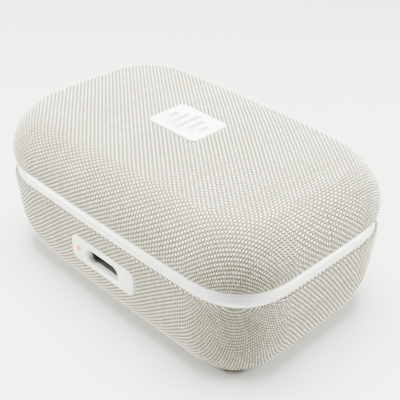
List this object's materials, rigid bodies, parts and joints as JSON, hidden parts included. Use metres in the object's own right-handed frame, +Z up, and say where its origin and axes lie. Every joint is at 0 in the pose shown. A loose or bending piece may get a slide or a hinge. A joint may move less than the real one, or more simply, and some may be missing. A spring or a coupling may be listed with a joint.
{
  "type": "wireless earbuds case",
  "caption": "Cloth-covered charging case for wireless earbuds with a hinged lid, a front charging socket, a cradle with two pockets and sprung charging contacts.",
  "frame": {"origin": "centre of the flat underside, on the surface that the case stands on", "axes": "+X along the length, to the right seen from the front; +Y from the front, with the charging socket, to the hinge at the back; +Z up, out of the lid"},
  "size_m": [0.0728, 0.0466, 0.035],
  "materials": {
    "cloth": "woven, light warm grey",
    "inner_shell": "moulded, pale grey, hidden under the cloth",
    "white_plastic": "satin white moulding",
    "badge": "smooth white",
    "socket_plate": "fine matte, light grey-white",
    "steel": "bright",
    "black_plastic": "black moulding",
    "lamp": "orange-red, lit",
    "circuit_board": "green solder mask",
    "foam": "black foam",
    "battery": "foil pouch",
    "copper": "enamelled copper winding",
    "ferrite": "dark grey sheet",
    "magnet": "nickel plated",
    "gold": "gold plated",
    "flex": "amber polyimide film"
  },
  "bodies": {
    "base": {"base_cloth": "cloth", "base_shell": "inner_shell", "base_rim": "white_plastic", "socket_plate": "socket_plate", "usb_c_shell": "steel", "usb_c_tongue": "black_plastic", "light_pipe": "lamp", "status_led": "lamp", "main_board": "circuit_board", "board_screw_left": "steel", "board_screw_right": "steel", "charge_controller": "black_plastic", "hall_sensor": "black_plastic", "battery_pad": "foam", "battery_cell": "battery", "charging_coil": "copper", "ferrite_sheet": "ferrite", "cradle_tray": "white_plastic", "hinge_pin": "steel", "base_magnet_left": "magnet", "base_magnet_right": "magnet", "earbud_magnet_left": "magnet", "earbud_magnet_right": "magnet", "contact_board_left": "circuit_board", "contact_board_right": "circuit_board", "contact_flex_left": "flex", "contact_flex_right": "flex", "contact_barrel_left_1": "gold", "contact_barrel_left_2": "gold", "contact_barrel_right_1": "gold", "contact_barrel_right_2": "gold"},
    "lid": {"lid_cloth": "cloth", "lid_shell": "inner_shell", "lid_frame": "white_plastic", "lid_liner": "white_plastic", "lid_badge": "badge", "lid_magnet_left": "magnet", "lid_magnet_right": "magnet"},
    "contact_left_1": {"contact_pin_left_1": "gold"},
    "contact_left_2": {"contact_pin_left_2": "gold"},
    "contact_right_1": {"contact_pin_right_1": "gold"},
    "contact_right_2": {"contact_pin_right_2": "gold"}
  },
  "joints": [
    {"name": "lid_hinge", "type": "hinge", "parent": "base", "child": "lid", "pos_m": [0, 0.02215, 0.02067], "axis": [-1, 0, 0], "range_deg": [0, 100]},
    {"name": "contact_left_1_press", "type": "slide", "parent": "base", "child": "contact_left_1", "axis": [0, 0, -1], "range_m": [0, 0.0006], "stiffness_N_per_m": 400},
    {"name": "contact_left_2_press", "type": "slide", "parent": "base", "child": "contact_left_2", "axis": [0, 0, -1], "range_m": [0, 0.0006], "stiffness_N_per_m": 400},
    {"name": "contact_right_1_press", "type": "slide", "parent": "base", "child": "contact_right_1", "axis": [0, 0, -1], "range_m": [0, 0.0006], "stiffness_N_per_m": 400},
    {"name": "contact_right_2_press", "type": "slide", "parent": "base", "child": "contact_right_2", "axis": [0, 0, -1], "range_m": [0, 0.0006], "stiffness_N_per_m": 400}
  ]
}
